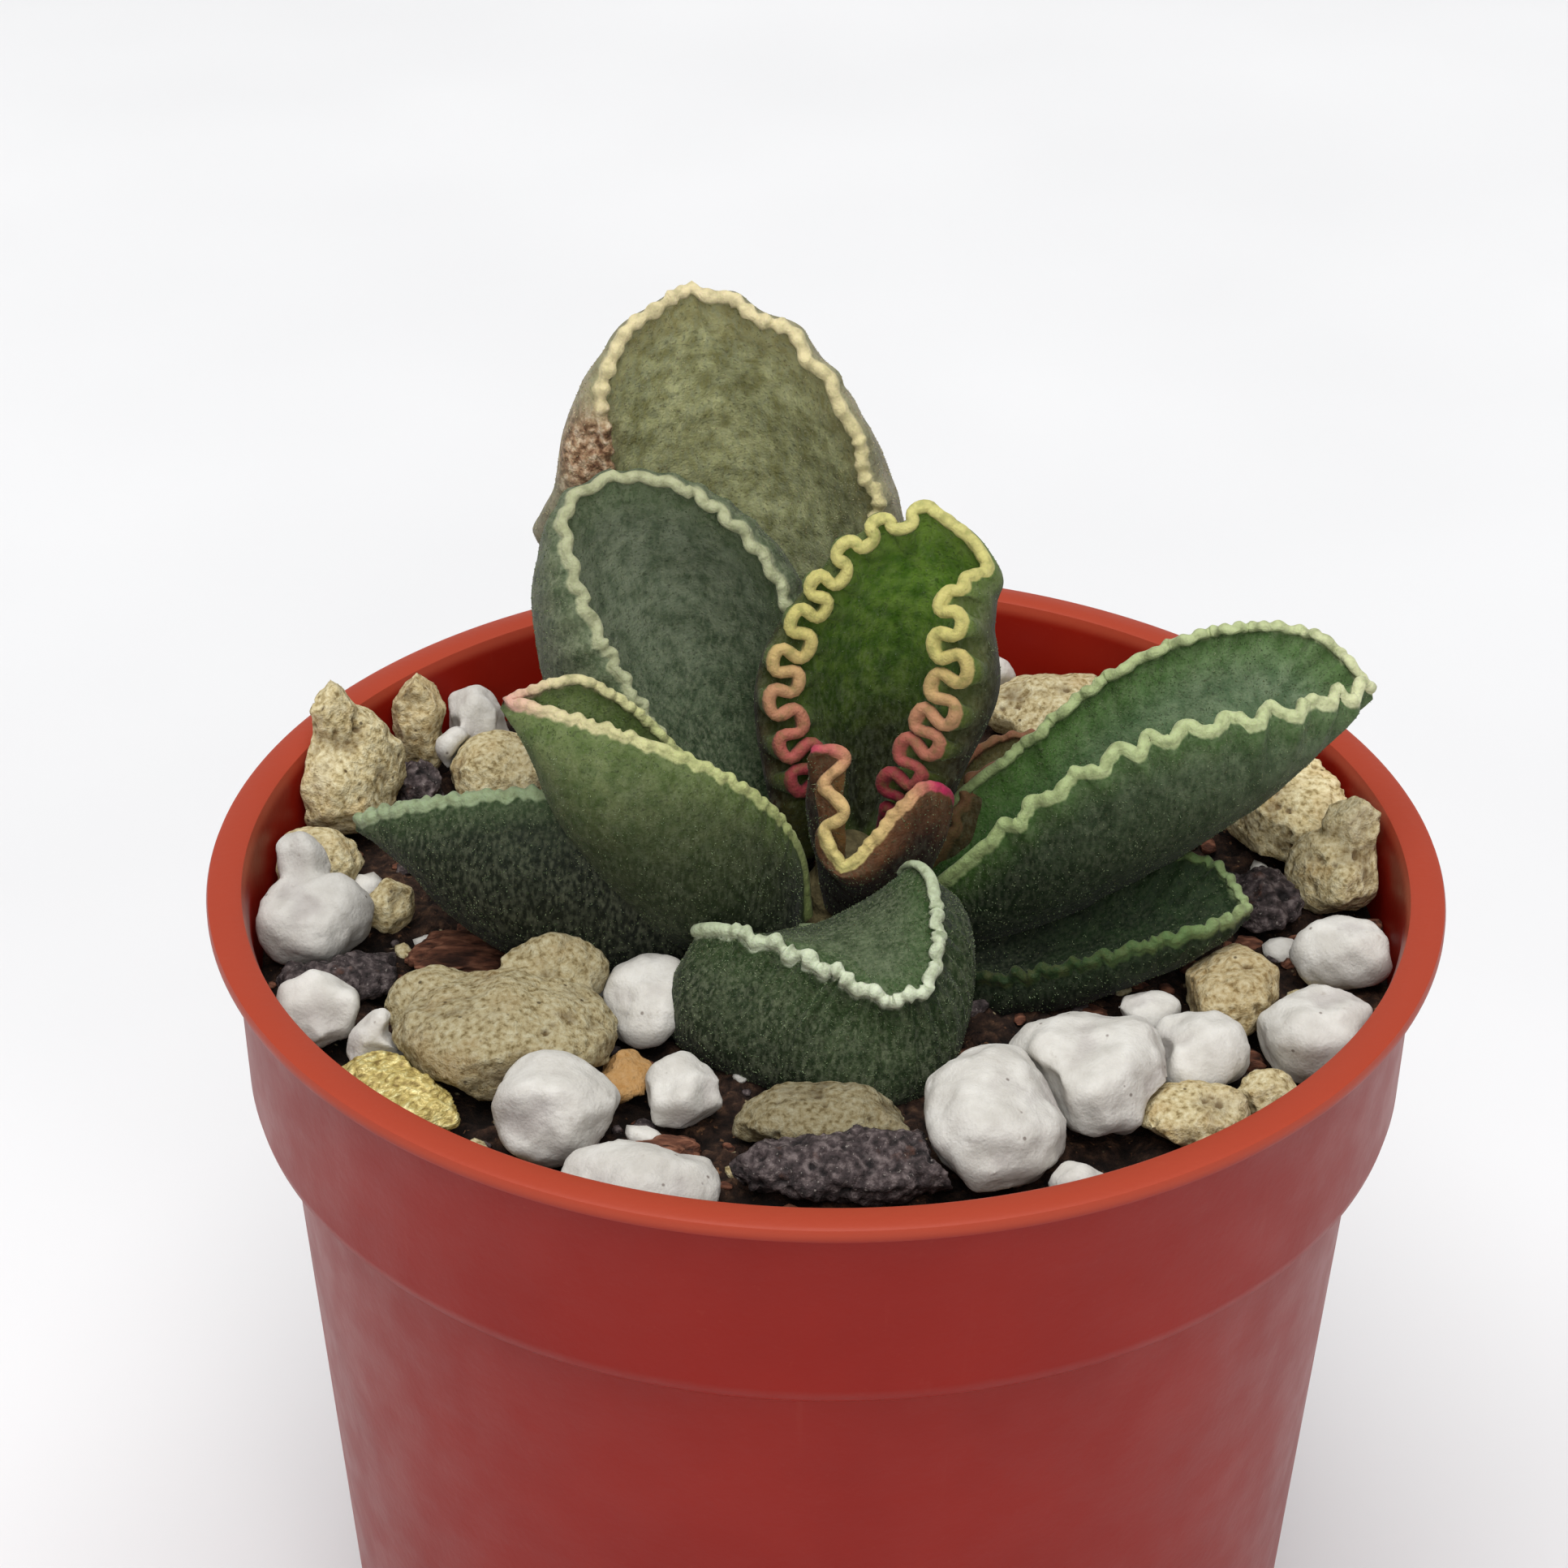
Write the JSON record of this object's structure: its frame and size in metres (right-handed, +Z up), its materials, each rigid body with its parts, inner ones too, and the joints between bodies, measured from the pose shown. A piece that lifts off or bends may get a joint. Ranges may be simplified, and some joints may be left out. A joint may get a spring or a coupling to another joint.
{
  "type": "potted adromischus",
  "caption": "Small succulent with thick felted leaves and waved leaf edges, in a round plastic nursery pot topped with mixed mineral grains.",
  "frame": {"origin": "centre of the underside of the pot, where it rests", "axes": "+Z up along the pot's axis; -Y is the front, towards the thick front leaf; +X is to the right seen from the front"},
  "size_m": [0.06, 0.06, 0.0791],
  "materials": {
    "pot_plastic": "semi-matt moulded terracotta-coloured plastic",
    "potting_mix": "dark moist peat and bark crumbs",
    "stem": "corky brown-green stem",
    "leaf_young": "felted bright green with a yellow to crimson edge",
    "leaf_bud": "felted maroon brown with a cream and crimson edge",
    "leaf_green": "felted grey-green with a pale edge",
    "leaf_old": "felted olive grey with a tan edge and a corky scar",
    "pumice": "pitted pale tan pumice",
    "perlite": "white puffed perlite",
    "lava": "dark rough lava",
    "bark": "brown bark chips",
    "vermiculite": "golden layered vermiculite"
  },
  "bodies": {
    "root": {"bark_front": "bark", "bark_left": "bark", "bark_rear_left": "bark", "lava_front_long": "lava", "lava_left": "lava", "lava_left_flat": "lava", "lava_rear": "lava", "lava_rear_right": "lava", "lava_right": "lava", "leaf_back": "leaf_old", "leaf_bud": "leaf_bud", "leaf_front": "leaf_green", "leaf_front_left": "leaf_green", "leaf_left": "leaf_green", "leaf_lower_right": "leaf_green", "leaf_rear_left": "leaf_green", "leaf_rear_right": "leaf_green", "leaf_right": "leaf_green", "leaf_young": "leaf_young", "perlite_back_left": "perlite", "perlite_front_big": "perlite", "perlite_front_left": "perlite", "perlite_front_right_rim": "perlite", "perlite_front_rim": "perlite", "perlite_front_tall": "perlite", "perlite_inner_front": "perlite", "perlite_inner_left": "perlite", "perlite_inner_right": "perlite", "perlite_left_double": "perlite", "perlite_left_knob": "perlite", "perlite_left_low": "perlite", "perlite_rear_centre": "perlite", "perlite_rear_far": "perlite", "perlite_rear_right": "perlite", "perlite_rear_rim": "perlite", "perlite_right_front": "perlite", "perlite_right_pit": "perlite", "perlite_right_rear": "perlite", "perlite_right_rim": "perlite", "pot": "pot_plastic", "potting_mix": "potting_mix", "pumice_back_left": "pumice", "pumice_behind_leaf": "pumice", "pumice_boulder": "pumice", "pumice_front": "pumice", "pumice_left_peak": "pumice", "pumice_left_rim": "pumice", "pumice_left_small": "pumice", "pumice_orange": "pumice", "pumice_rear_centre": "pumice", "pumice_rear_far": "pumice", "pumice_rear_left": "pumice", "pumice_rear_right": "pumice", "pumice_right_big": "pumice", "pumice_right_flat": "pumice", "pumice_right_front": "pumice", "pumice_right_knob": "pumice", "pumice_right_rim": "pumice", "stem": "stem", "vermiculite_rim": "vermiculite"}
  },
  "joints": []
}
